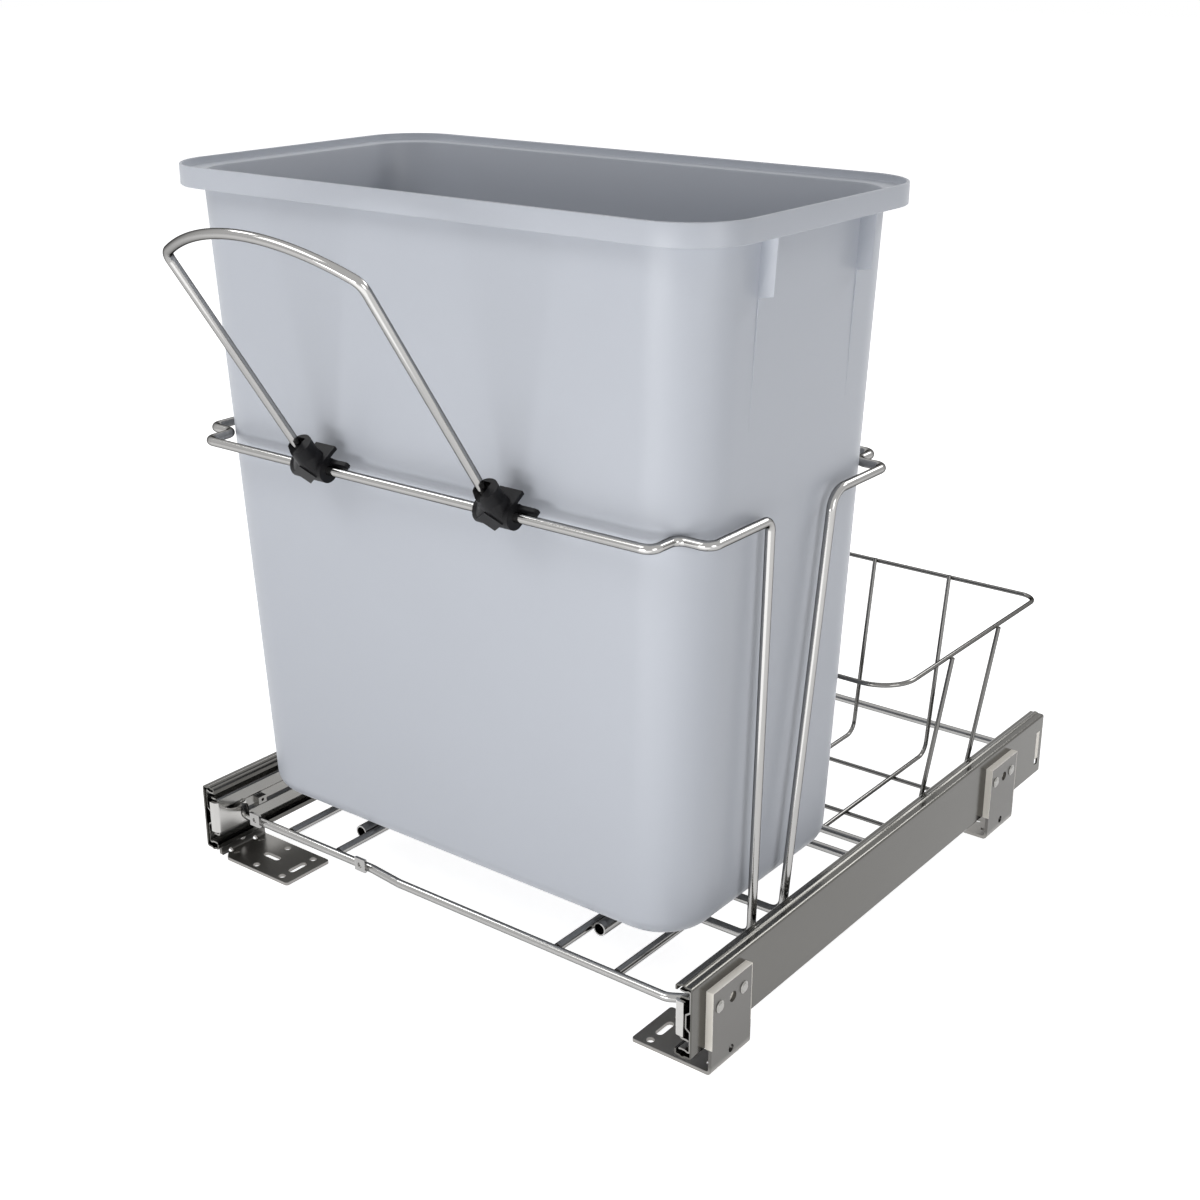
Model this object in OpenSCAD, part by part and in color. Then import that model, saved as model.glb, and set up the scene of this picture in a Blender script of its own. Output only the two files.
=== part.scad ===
// Pull-out bin frame for a kitchen base cabinet: two full-extension ball slides on floor
// brackets, a welded wire carriage with a bin hoop and a rear basket, a swinging bail handle
// and a lift-out bin. X runs across the cabinet, Y into it, Z up; the feet stand on Z = 0.

/* [Slides] */
// Length of the slides
rail_length = 450; // [400:10:500]
// Height of a slide over its flat flanges
rail_height = 46; // [45:0.5:50]
// Width of the frame over the outer faces of the two slides
frame_width = 400; // [380:5:440]
// Sheet of the outer (cabinet) member
outer_t = 1.2; // [1:0.1:1.4]
// Sheet of the middle member
mid_t = 1.0; // [0.8:0.1:1.2]
// Sheet of the inner (carriage) member
inner_t = 1.2; // [1:0.1:1.4]
// Depth of the outer member over its lips
rail_depth = 11.5; // [11.5:0.1:12.5]
// How far the lips of the outer member turn down over the balls
lip_drop = 4; // [3:0.5:5]
// Depth from the outer face to the middle of the ball races
race_depth = 6.4; // [6.2:0.1:6.6]
// Play of a ball in its race
race_gap = 0.1; // [0.05:0.01:0.15]
// Balls between the outer and the middle member
outer_ball_d = 3.2; // [2.8:0.1:3.4]
// Balls between the middle and the inner member
inner_ball_d = 4; // [3.4:0.1:4.2]
// Gap between the web of the outer member and that of the middle member
web_gap = 0.3; // [0.2:0.1:0.5]
// Depth of the step that stiffens the web of the middle member
web_step = 3; // [2:0.5:3.5]
// Height of that step
web_step_h = 10; // [8:1:14]
// Sheet of the ball cages
cage_t = 0.8; // [0.6:0.1:1]
// Width of a cage strip
cage_w = 6.4; // [5.6:0.2:6.6]
// Length of a cage strip
cage_length = 200; // [120:10:220]
// Spacing of the balls in a cage
ball_pitch = 20; // [10:1:40]
// Front end of the middle member behind the front of the slide
mid_setback = 1; // [0.5:0.5:6]
// Depth of the groove along the web of the inner member
groove_depth = 2; // [1:0.1:2.4]
// Height of that groove
groove_h = 8; // [6:0.5:10]
// Rear bumper of a slide, length along the slide
bumper_length = 10; // [9:0.5:12]
// Height of the slot that holds the bumper
bumper_h = 26; // [20:1:28]
// Lower end of that slot above the underside of the slide
bumper_low = 8.4; // [6:0.2:10]
// Lower part of the slot that the bumper leaves open
bumper_open = 4.6; // [3:0.2:6]

/* [Brackets] */
// Sheet of the floor brackets
bracket_t = 2.2; // [1.8:0.1:2.6]
// Spacer between a slide and its bracket
spacer_t = 2.4; // [2:0.1:3]
// How far the spacer laps the edges of the bracket's upright plate
spacer_lip = 0.5; // [0.3:0.1:0.8]
// Length of a bracket along the slide
bracket_length = 39.7; // [36:0.5:44]
// Front edge of the front bracket behind the front of the slide
bracket_front = 13.3; // [10:0.5:20]
// Distance from the front bracket to the rear one
bracket_pitch = 344.2; // [280:5:350]
// Height of the slides' underside above the cabinet floor
rail_lift = 16; // [12:0.5:24]
// Height of a bracket's upright plate above the underside of the slide
plate_rise = 38; // [36:0.5:42]
// Inside radius of the bracket's bend
bend_r = 1.2; // [0.8:0.1:2]
// Width of a right-hand foot
right_foot_w = 55.6; // [50:1:70]
// Width of a left-hand foot
left_foot_w = 66.6; // [60:1:75]
// Chamfer on the outer front corner of a left-hand foot
foot_chamfer = 8; // [4:1:10]
// Corner radius of a foot
foot_corner_r = 2; // [1:0.5:4]
// Diameter of the floor-screw holes
screw_hole_d = 5; // [4:0.1:5.5]
// Floor-screw holes from the inner edge of the foot
hole_edge = 10; // [7:0.5:12]
// Spacing of the floor-screw holes across the cabinet
hole_pitch_x = 25.2; // [22:0.2:28]
// Spacing of the floor-screw holes along the slide
hole_pitch_y = 28.6; // [26:0.2:30]
// First floor-screw hole from the front edge of the bracket
hole_front = 5.2; // [4:0.2:8]
// Length of the adjusting slots over their ends
slot_length = 15; // [12:0.5:18]
// Rivet shank diameter
rivet_d = 5; // [4:0.1:6]
// Rivet head diameter
rivet_head_d = 7.5; // [6.5:0.1:9]
// Rivet head height
rivet_head_h = 1.2; // [0.8:0.1:1.6]
// Play of a rivet shank in its holes
rivet_play = 0.05; // [0.02:0.01:0.1]
// Spacing of the two rivets of a bracket
rivet_pitch = 24.2; // [20:0.2:26]
// First rivet from the front edge of the bracket
rivet_front = 6.9; // [6:0.1:8]
// Height of the rivets above the underside of the slide
rivet_z = 26.5; // [22:0.5:30]
// Adjuster hole in the upright plate
adjust_hole_d = 6.6; // [5:0.1:8]

/* [Wire carriage] */
// Main wire
wire_d = 5.5; // [5:0.1:6]
// Basket wire
basket_wire_d = 3; // [2.6:0.1:3.4]
// How much thicker a bend is than the straight wire
bend_swell = 0.03; // [0.02:0.01:0.05]
// How far welded wires sink into each other
weld_sink = 0.1; // [0.05:0.01:0.2]
// How far pieces that touch along a line sink into each other
tack_sink = 0.02; // [0.01:0.01:0.03]
// Sheet of the carrier plates at the front of the inner members
carrier_t = 2; // [1.6:0.1:2.4]
// Length of a carrier plate
carrier_length = 26; // [24:0.5:32]
// Height of a carrier plate
carrier_h = 22; // [18:0.5:24]
// Middle of a carrier plate above the middle of the slide
carrier_up = 1; // [0:0.2:1.5]
// Front bar behind the front of the slides, right-hand part
bar_y = 14; // [12:0.5:18]
// Step of the front bar towards the rear on its left-hand part
bar_jog = 3; // [1:0.2:4]
// Middle of the step in the front bar from the left side of the frame
bar_jog_in = 154; // [140:1:170]
// Length of that step
bar_jog_w = 26; // [20:1:36]
// Where the bar turns back to its plates, from the sides of the frame
bar_turn_left = 21; // [18:0.5:26]
bar_turn_right = 27; // [22:0.5:30]
// How far the bar runs back between there and the side of the frame
bar_turn_back = 17; // [12:0.5:20]
// Bend radius of the bar
bar_bend_r = 10; // [8:0.5:12]
// Inner pair of floor rods from the centre
rod_inner_x = 92.3; // [80:0.5:100]
// Outer pair of floor rods from the centre
rod_outer_x = 136.5; // [125:0.5:145]
// Outside diameter of the two guide tubes
tube_od = 9; // [8:0.1:10]
// Bore of the guide tubes
tube_id = 7; // [6:0.1:7.4]
// Front mouth of the guide tubes
tube_front = 47.5; // [40:0.5:50]
// Length of the guide tubes
tube_length = 36; // [20:1:37]
// Square tabs on the front bar
tab_size = 9; // [7:0.5:11]
// Thickness of those tabs
tab_t = 2; // [1.5:0.1:3]
// First tab from the left side of the frame
tab_inset = 35.6; // [32:0.2:40]
// Distance between the two tabs
tab_pitch = 98.4; // [90:0.2:102]
// Middle of the tabs above the middle of the bar
tab_up = 2.4; // [0:0.2:2.6]
// Cross rods of the bin hoops, from the front of the slides
front_cross_y = 88; // [87:0.5:95]
rear_cross_y = 122.3; // [115:0.5:130]
// Half width of the bin hoop at the floor
hoop_foot_x = 180.8; // [178:0.1:181]
// Half width of the bin hoop at its top ring
ring_x = 189; // [187:0.5:195]
// Height of the ring above the underside of the slides
ring_z = 290.5; // [240:1:310]
// Front wire of the ring
ring_front_y = 1.5; // [0:0.5:4]
// Rear wire of the ring
ring_rear_y = 225; // [225:0.5:235]
// Where the side wires of the ring end, front and rear hoop
front_side_y = 80.2; // [76:0.5:86]
rear_side_y = 145; // [140:0.5:150]
// Size of the stepped corners of the ring, front and rear
notch_size = 21; // [20.5:0.5:22]
rear_notch_size = 19.5; // [15:0.5:19.5]
// Bend radius of the stepped corners
notch_r = 6.5; // [6:0.5:9.5]
// Bend radius at the feet of the uprights
foot_bend_r = 9; // [6:0.5:12]
// Bend radius at the top of the uprights
top_bend_r = 6; // [5:0.5:12]
// Cross bars under the floor rods
cross_bar_y = [225, 247, 441];

/* [Basket] */
// Height of the basket rim above the underside of the slides
basket_z = 145; // [120:1:180]
// Basket rim inside the sides of the frame
basket_inset = 2; // [2:0.5:10]
// Front and rear wire of the basket rim
basket_front_y = 218; // [212:1:222]
basket_rear_y = 423; // [410:1:428]
// Corner radii of the rim, front and rear
rim_front_r = 25; // [15:1:30]
rim_rear_r = 12; // [8:1:20]
// Gap between the cross hoops and the slides
hoop_gap = 0.4; // [0.4:0.1:4]
// Cross hoops from the front of the slides
basket_hoop_y = [288, 355];
// Spacing of the long wires
stringer_x = [-131, -70.5, 0, 70.5, 131];
// Where the long wires turn up at the back
basket_back_y = 401; // [390:1:405]
// How far the ends of the long wires stand over the rim
wire_over = 1; // [0.5:0.5:2]
// Bend radius of the basket wires
basket_bend_r = 10; // [6:1:14]

/* [Handle] */
// Distance between the legs of the bail
handle_w = 141; // [120:1:160]
// Middle of the bail, left of the centre
handle_x = -5.5; // [-12:0.5:0]
// Length of the straight legs up to the shoulders
handle_leg = 164.5; // [140:0.5:175]
// Slope of the shoulders
handle_bow_a = 30.8; // [26:0.2:32]
// Radius of the bowed top
handle_bow_r = 128; // [100:1:130]
// Radius of the shoulders
shoulder_r = 9; // [7:0.5:9]
// Forward lean of the bail at rest
handle_lean = 34; // [20:1:50]
// Outside diameter of a clip's sleeve
clip_od = 14.8; // [13:0.1:15]
// Length of a clip's sleeve
clip_length = 24.5; // [23:0.5:30]
// Middle of the sleeve to the right of its leg
clip_shift = 1.7; // [0:0.1:3]
// Play of the sleeve on the ring wire
clip_play = 0.05; // [0.03:0.01:0.1]
// Socket for the leg, outside diameter
socket_od = 14.6; // [14:0.1:15]
// Middle of the socket to the right of its leg
socket_shift = 2.6; // [0:0.1:2.8]
// Socket for the leg, top above the hinge axis
socket_top = 20; // [17:0.5:24]
// Lower end of the leg above the hinge axis
leg_foot = 8; // [7:0.5:9]
// Wing plate reach behind the hinge axis
wing_reach = 12.5; // [10:0.5:13]
// Length of the locking finger beyond the sleeve
finger_length = 12.5; // [8:0.5:14]

/* [Bin] */
// Length and width over the rim
bin_l = 397.2; // [390:0.2:400]
bin_w = 220.55; // [215:0.05:223]
// Front of the rim behind the front of the slides
bin_front = 2.75; // [2.5:0.25:5]
// Height of the bin
bin_h = 422.8; // [380:1:460]
// Wall thickness
bin_wall = 2; // [1.6:0.1:3]
// Height of the rolled skirt
skirt_h = 12.3; // [9:0.1:16]
// Wall of the skirt
skirt_t = 1.8; // [1.4:0.1:2.4]
// Upstand of the lip above the ledge
lip_rise = 4.2; // [3:0.1:6]
// Overhang of the skirt beyond the wall
overhang = 9.8; // [9:0.1:11]
// Draw-in of each end wall over the whole height
draft_l = 16.9; // [14:0.1:20]
// Draw-in of the front and rear walls
draft_w = 7.9; // [6:0.1:10]
// How far the lower end of the bin is set back
foot_back = 3.3; // [0:0.1:4]
// Corner radius of the rim
rim_r = 38; // [36:1:44]
// Corner radius of the wall at the top
wall_top_r = 37; // [34:1:40]
// Corner radius of the wall at its lower edge
wall_foot_r = 35; // [30:1:40]
// Radius of that edge
floor_edge_r = 14; // [8:1:18]
// Height of that edge above the base panel
base_drop = 13.4; // [8:0.2:14]
// Inset of the base panel from the walls
base_inset = 32; // [30:1:40]
// Corner radius of the base panel
base_r = 12; // [8:1:20]
// Play between the bin and the rods it stands on
bin_play = 0.3; // [0.2:0.1:0.5]
// Fins under the skirt on each end, from the front of the rim
fin_y = [62.2, 159.7];
// Height of the fins below the skirt
fin_h = 31; // [20:1:40]
// Length of the ridge that runs on down the wall from each fin
ridge_l = 70; // [40:5:120]
// Thickness of the fins
fin_t = 1.8; // [1.2:0.1:2.4]

/* [Hidden] */
$fn = 48;

STEEL = "#8b8883";
BRIGHT = "#c9cbce";
CREAM = "#e6dfd0";
BLACK = "#26272a";
GREY = "#b9bfca";

half_w = frame_width / 2;
rail_mid = rail_height / 2;
bearing_r = wire_d / 2;
bend_lap = 0.2;
thin_r = basket_wire_d / 2;

// Heights of the race parts, measured from the middle of the slide
flange_h = rail_mid - outer_t / 2;
outer_ball_h = rail_mid - outer_ball_d / 2 - race_gap - 0.4;
bump_r = outer_ball_d / 2 + race_gap + outer_t / 2;
mid_flange_h = outer_ball_h - outer_ball_d / 2 - race_gap - mid_t / 2;
inner_ball_h = mid_flange_h - mid_t / 2 - race_gap - inner_ball_d / 2;
inner_flange_h = inner_ball_h - inner_ball_d / 2 - race_gap - inner_t / 2;
mid_web = outer_t + web_gap + mid_t / 2;
lip_x = rail_depth - outer_t / 2;
inner_web = race_depth + cage_w / 2;
inner_face = inner_web + inner_t / 2;
cage_y = 120;
mid_end = rail_length - bumper_length - 4;
slot_l = bumper_length - 5;
inner_front = carrier_t * 1.5;
inner_end = rail_length - bumper_length - 0.5;

// Brackets
spacer_face = half_w + spacer_t;
bracket_face = spacer_face + bracket_t;
rear_bracket = bracket_front + bracket_pitch;

// Wire carriage, heights from the underside of the slides
rod_z = rail_mid;
cross_z = rod_z + wire_d - weld_sink;
under_z = rod_z - wire_d + weld_sink;
rod_end_y = cross_bar_y[1] + bearing_r;
carrier_face = half_w - inner_face - carrier_t;
carrier_edge = mid_web + web_step + mid_t / 2 + 0.4;
web_face = half_w - inner_face;
rod_outer_end_y = rear_cross_y + wire_d;
tube_x = rod_inner_x + bearing_r + tube_od / 2 - tack_sink;
stringer_z = under_z - bearing_r - thin_r + weld_sink;
basket_floor_z = stringer_z - basket_wire_d + weld_sink;
bar_left_y = bar_y + bar_jog;
basket_x = half_w - basket_inset;

// Handle
bow_c = 1 / cos(handle_bow_a) - 1;
handle_reach = handle_leg + handle_w / 2 * tan(handle_bow_a) - handle_bow_r * bow_c;

// Bin
bin_z = cross_z + bearing_r + bin_play;
bin_mid_y = bin_front + bin_w / 2;
ledge_z = bin_z + bin_h - lip_rise;
skirt_z = bin_z + bin_h - skirt_h;

// The frame stands on Z = 0 with its middle over the origin
front_most = ring_front_y - handle_reach * sin(handle_lean) - bearing_r;
origin_y = (front_most + rail_length) / 2;

module place() {
    translate([0, -origin_y, rail_lift]) children();
}

module right_side() {
    translate([half_w, 0, rail_mid]) mirror([1, 0, 0]) children();
}

module left_side() {
    translate([-half_w, 0, rail_mid]) children();
}

module both_sides() {
    children();
    mirror([1, 0, 0]) children();
}

// ---- bent sheet: a centre line with rounded corners, thickened evenly
function unit(v) = v / norm(v);
function heading(a, b) = atan2(b.y - a.y, b.x - a.x);
function turn(p, i) = let (d = heading(p[i], p[i + 1]) - heading(p[i - 1], p[i]))
    d > 180 ? d - 360 : d < -180 ? d + 360 : d;
function corner(p, i, r) = let (
    a = turn(p, i),
    s = a > 0 ? 1 : -1,
    h = heading(p[i - 1], p[i]),
    start = p[i] - r * tan(abs(a) / 2) * [cos(h), sin(h)],
    c = start + s * r * [-sin(h), cos(h)],
    n = max(2, ceil(abs(a) / 12))
) [for (k = [0:n]) c - s * r * [-sin(h + a * k / n), cos(h + a * k / n)]];
function rounded(p, r) = [for (i = [0:len(p) - 1])
    each (i == 0 || i == len(p) - 1 || r[i] == 0 ? [p[i]] : corner(p, i, r[i]))];
function side(p, d) = [for (i = [0:len(p) - 1]) let (
    a = i == 0 ? heading(p[0], p[1]) : heading(p[i - 1], p[i]),
    b = i == len(p) - 1 ? a : heading(p[i], p[i + 1]),
    m = [-sin(a), cos(a)] + [-sin(b), cos(b)]
) p[i] + m * d / (1 + cos(b - a))];

module strip(p, r, t) {
    q = rounded(p, r);
    up = side(q, t / 2);
    down = side(q, -t / 2);
    polygon(concat(up, [for (i = [len(down) - 1:-1:0]) down[i]]));
}

module along_y(y0, y1) {
    translate([0, y1, 0]) rotate([90, 0, 0]) linear_extrude(y1 - y0) children();
}

// ---- bent wire: straight lengths and torus arcs through corner points
function frame_of(c, x, y) = let (z = cross(x, y)) [
    [x[0], y[0], z[0], c[0]],
    [x[1], y[1], z[1], c[1]],
    [x[2], y[2], z[2], c[2]],
    [0, 0, 0, 1]];
function any_normal(d) = unit(cross(d, abs(d[2]) < 0.9 ? [0, 0, 1] : [1, 0, 0]));
function bend_angle(a, b, c) = acos(min(1, max(-1, unit(b - a) * unit(c - b))));
// A bend is a trace thicker than the straight lengths, which run a little way into it
module wire(p, r, d, closed = false) {
    n = len(p);
    q = closed ? concat([p[n - 1]], p, [p[0]]) : p;
    s = closed ? concat([0], r, [0]) : r;
    back = [for (i = [0:len(q) - 1])
        i == 0 || i == len(q) - 1 ? 0 : s[i] * tan(bend_angle(q[i - 1], q[i], q[i + 1]) / 2)];
    first = closed ? 1 : 0;
    for (i = [first:len(q) - 2]) {
        u = unit(q[i + 1] - q[i]);
        end = closed && i == n ? back[1] : back[i + 1];
        a = q[i] + u * (back[i] - (back[i] > 0 ? bend_lap : 0));
        b = q[i + 1] - u * (end - (end > 0 ? bend_lap : 0));
        x = any_normal(u);
        multmatrix(frame_of(a, x, cross(u, x))) cylinder(d = d, h = norm(b - a));
    }
    for (i = [1:1:len(q) - 2]) {
        u = unit(q[i] - q[i - 1]);
        v = unit(q[i + 1] - q[i]);
        ang = bend_angle(q[i - 1], q[i], q[i + 1]);
        c = q[i] + unit(v - u) * s[i] / cos(ang / 2);
        multmatrix(frame_of(c, unit(q[i] - u * back[i] - c), u))
            rotate_extrude(angle = ang) translate([s[i], 0]) circle(d = d + bend_swell);
    }
}

// ---- slide members, drawn in depth (x) from the outer face and height (y) from the middle
function bump(s) = [for (a = [140:-20:40])
    [race_depth + bump_r * cos(a), s * (outer_ball_h + bump_r * sin(a))]];
function backwards(p) = [for (i = [len(p) - 1:-1:0]) p[i]];

outer_line = concat(
    [[lip_x, rail_mid - lip_drop], [lip_x, flange_h]],
    backwards(bump(1)),
    [[outer_t / 2, flange_h], [outer_t / 2, -flange_h]],
    bump(-1),
    [[lip_x, -flange_h], [lip_x, lip_drop - rail_mid]]);
outer_radii = concat([0, 1], [for (i = [1:6]) 0], [1.2, 1.2], [for (i = [1:6]) 0], [1, 0]);

mid_half = [
    [race_depth + 2.9, mid_flange_h + 0.4],
    [race_depth + 1.4, mid_flange_h],
    [race_depth - 1.2, mid_flange_h],
    [race_depth - 2.8, mid_flange_h + 0.7],
    [mid_web, mid_flange_h + 0.7],
    [mid_web, web_step_h / 2 + 1.4],
    [mid_web + web_step, web_step_h / 2 - 0.8]];
mid_line = concat(mid_half, [for (p = backwards(mid_half)) [p.x, -p.y]]);
mid_radii_half = [0, 1, 1, 0.8, 1, 1, 1];
mid_radii = concat(mid_radii_half, backwards(mid_radii_half));

inner_half = [
    [race_depth - 2.2, inner_flange_h + 0.5],
    [race_depth - 1, inner_flange_h],
    [race_depth + 1.1, inner_flange_h],
    [inner_web, inner_flange_h],
    [inner_web, groove_h / 2 + 1.4],
    [inner_web - groove_depth, groove_h / 2 - 0.6]];
inner_line = concat(inner_half, [for (p = backwards(inner_half)) [p.x, -p.y]]);
inner_radii_half = [0, 1, 0, 1.1, 1, 1];
inner_radii = concat(inner_radii_half, backwards(inner_radii_half));

// Slot in the web of the outer member, or the part of it above a height
module bumper_slot(above) {
    translate([-1, rail_length - bumper_length + 0.3, bumper_low + above - rail_mid])
        cube([outer_t + 1, slot_l, bumper_h - above]);
}

module rail_rivet_holes() {
    for (b = [bracket_front, rear_bracket])
        for (k = [0, 1])
            translate([-1, b + rivet_front + k * rivet_pitch, rivet_z - rail_mid])
                rotate([0, 90, 0]) cylinder(d = rivet_d + 2 * rivet_play, h = outer_t + 2);
}

module outer_rail() {
    difference() {
        along_y(0, rail_length) strip(outer_line, outer_radii, outer_t);
        rail_rivet_holes();
        bumper_slot(0);
    }
}

module mid_rail() {
    along_y(mid_setback, mid_end) strip(mid_line, mid_radii, mid_t);
}

module inner_rail() {
    along_y(inner_front, inner_end) strip(inner_line, inner_radii, inner_t);
    // stop lug in the groove behind the carrier plate
    difference() {
        translate([inner_web - groove_depth, 38, -groove_h / 2])
            cube([groove_depth + 1.6, 7, groove_h * 0.62]);
        translate([inner_web + 1, 41.5, -groove_h * 0.19]) rotate([0, 90, 0])
            cylinder(d = 2.4, h = 4, center = true);
    }
}

module cage(ball_h, ball_d) {
    count = floor((cage_length - 2 * ball_d) / ball_pitch);
    first = cage_y + (cage_length - count * ball_pitch) / 2;
    for (s = [-1, 1]) {
        translate([race_depth - cage_w / 2, cage_y, s * ball_h - cage_t / 2])
            cube([cage_w, cage_length, cage_t]);
        for (k = [0:count])
            translate([race_depth, first + k * ball_pitch, s * ball_h]) sphere(d = ball_d);
    }
}

module bumper() {
    w = rail_depth - outer_t - 0.6;
    intersection() {
        union() {
            bumper_slot(bumper_open);
            translate([outer_t, rail_length - bumper_length, bumper_low + bumper_open - 1 - rail_mid])
                cube([w - outer_t, bumper_length - 0.6, bumper_h - bumper_open + 4]);
        }
        translate([0, 0, -rail_mid]) cube([w, rail_length, rail_height]);
    }
}

// ---- brackets, drawn for the right-hand side with z from the underside of the slide
module foot_hole(x, y) {
    translate([x, y, -rail_lift - 1]) cylinder(d = screw_hole_d, h = bracket_t + 2);
}

module foot_slot(x, y, dx, dy) {
    for (s = [-1, 1]) foot_hole(x + s * dx / 2, y + s * dy / 2);
    translate([x, y, -rail_lift + bracket_t / 2])
        cube([max(dx, screw_hole_d), max(dy, screw_hole_d), bracket_t + 2], center = true);
}

module pilot_hole(x, y) {
    translate([x, y, -rail_lift - 1]) rotate([0, 0, -90]) cylinder(d = 5.6, h = bracket_t + 2, $fn = 3);
}

module bracket(y0, foot_w, chamfer) {
    edge = bracket_face - foot_w;
    col = edge + hole_edge;
    row = y0 + hole_front;
    mid_c = -rail_lift + bracket_t / 2;
    run = slot_length - screw_hole_d;
    difference() {
        along_y(y0, y0 + bracket_length)
            strip([[bracket_face - bracket_t / 2, plate_rise - spacer_lip],
                [bracket_face - bracket_t / 2, mid_c],
                [edge, mid_c]], [0, bend_r + bracket_t / 2, 0], bracket_t);
        // floor screws: four round holes and two slots
        for (i = [0, 1])
            for (j = [0, 1]) foot_hole(col + i * hole_pitch_x, row + j * hole_pitch_y);
        foot_slot(col, row + hole_pitch_y / 2, 0, run);
        foot_slot(col + hole_pitch_x, row + hole_pitch_y / 2, run, 0);
        // pilot holes next to the bend, relief holes through it and a shallow dimple
        for (s = [0, 1]) {
            pilot_hole(bracket_face - 7.3, row + 3.7 + s * 22.2);
            translate([bracket_face, row + 2.5 + s * 22.2, -rail_lift]) rotate([0, -45, 0])
                cylinder(d = 3.2, h = 8 * bracket_t, center = true);
        }
        translate([col - 13.5, row + 8, -rail_lift + bracket_t - 0.6]) cylinder(d = 5, h = 1);
        // the spacer's lip stands before and behind the upright plate
        for (s = [0, 1])
            translate([spacer_face - 1, y0 - 1 + s * (bracket_length + 1 - spacer_lip), 0.5])
                cube([bracket_t + 2, spacer_lip + 1, plate_rise]);
        // rivets, adjuster and gauge hole in the upright plate
        for (k = [0, 1])
            translate([spacer_face - 1, y0 + rivet_front + k * rivet_pitch, rivet_z]) rotate([0, 90, 0])
                cylinder(d = rivet_d + 2 * rivet_play, h = bracket_t + 2);
        translate([spacer_face - 1, y0 + rivet_front + 0.55 * rivet_pitch, rivet_z - 0.5])
            rotate([0, 90, 0]) cylinder(d = adjust_hole_d, h = bracket_t + 2);
        translate([spacer_face - 1, y0 + bracket_length / 2, -rail_lift / 2])
            rotate([0, 90, 0]) cylinder(d = screw_hole_d, h = bracket_t + 2);
        // rounded inner corners, chamfered outer front corner
        for (s = [0, 1])
            translate([edge, y0 + s * bracket_length, 0]) mirror([0, s, 0]) difference() {
                translate([-1, -1, -rail_lift - 1])
                    cube([foot_corner_r + 1, foot_corner_r + 1, bracket_t + 2]);
                translate([foot_corner_r, foot_corner_r, -rail_lift - 2])
                    cylinder(r = foot_corner_r, h = bracket_t + 4);
            }
        if (chamfer > 0)
            translate([bracket_face, y0, -rail_lift - 1]) rotate([0, 0, 45])
                cube([chamfer * sqrt(2), chamfer * sqrt(2), 2 * bracket_t + 2], center = true);
    }
}

module spacer(y0) {
    difference() {
        translate([half_w, y0, 0.5]) cube([spacer_t + bracket_t, bracket_length, plate_rise - 0.5]);
        translate([spacer_face, y0 + spacer_lip, -1])
            cube([bracket_t + 1, bracket_length - 2 * spacer_lip, plate_rise - spacer_lip + 1]);
        for (k = [0, 1])
            translate([half_w - 1, y0 + rivet_front + k * rivet_pitch, rivet_z]) rotate([0, 90, 0])
                cylinder(d = rivet_d + 2 * rivet_play, h = spacer_t + 2);
    }
}

module rivets() {
    for (b = [bracket_front, rear_bracket])
        for (k = [0, 1])
            translate([half_w - outer_t, b + rivet_front + k * rivet_pitch, rivet_z])
                rotate([0, 90, 0]) {
                    stack = outer_t + spacer_t + bracket_t;
                    cylinder(d = rivet_d, h = stack + 0.2);
                    translate([0, 0, stack]) cylinder(d = rivet_head_d, h = rivet_head_h * 0.4);
                    translate([0, 0, stack + rivet_head_h * 0.4])
                        cylinder(d1 = rivet_head_d, d2 = rivet_head_d * 0.66, h = rivet_head_h * 0.6);
                }
}

// ---- carriage
module carrier() {
    c = inner_face + carrier_t / 2;
    intersection() {
        translate([0, 0, carrier_up - carrier_h / 2]) linear_extrude(carrier_h)
            strip([[carrier_edge, carrier_t / 2], [c, carrier_t / 2], [c, carrier_length]],
                [0, carrier_t * 0.9, 0], carrier_t);
        // the top edge sweeps down to the bar
        difference() {
            translate([0, -1, -carrier_h])
                cube([rail_depth + carrier_t + 2, carrier_length + 2, 2 * carrier_h]);
            translate([-1, carrier_length * 0.7, carrier_up + carrier_h / 2 + 8.6]) rotate([0, 90, 0])
                cylinder(r = 17.6, h = rail_depth + carrier_t + 6);
        }
    }
}

module bar() {
    jog_x = bar_jog_in - half_w;
    intersection() {
        wire([[-half_w, bar_left_y + bar_turn_back, rod_z], [bar_turn_left - half_w, bar_left_y, rod_z],
            [jog_x - bar_jog_w / 2, bar_left_y, rod_z], [jog_x + bar_jog_w / 2, bar_y, rod_z],
            [half_w - bar_turn_right, bar_y, rod_z], [half_w, bar_y + bar_turn_back, rod_z]],
            [0, bar_bend_r, bar_bend_r, bar_bend_r, bar_bend_r, 0], wire_d);
        translate([-carrier_face, 0, 0]) cube([2 * carrier_face, rear_cross_y, rail_height]);
    }
}

module tabs() {
    y_face = bar_left_y - bearing_r + tack_sink;
    for (x = [tab_inset - half_w, tab_inset + tab_pitch - half_w])
        translate([x, y_face - tab_t, rod_z + tab_up]) difference() {
            translate([-tab_size / 2, 0, -tab_size / 2]) cube([tab_size, tab_t, tab_size]);
            translate([0, -1, 0]) rotate([-90, 0, 0]) cylinder(d = tab_size * 0.4, h = 1.8);
        }
}

module floor_rods(side_x, y0) {
    for (x = [rod_inner_x, rod_outer_x])
        wire([[side_x * x, y0, rod_z], [side_x * x, x == rod_inner_x ? rod_end_y : rod_outer_end_y, rod_z]],
            [0, 0], wire_d);
}

module guide_tube(side_x) {
    translate([side_x * tube_x, tube_front + tube_length, rod_z]) rotate([90, 0, 0])
        difference() {
            cylinder(d = tube_od, h = tube_length);
            translate([0, 0, -1]) cylinder(d = tube_id, h = tube_length + 2);
        }
}

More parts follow.
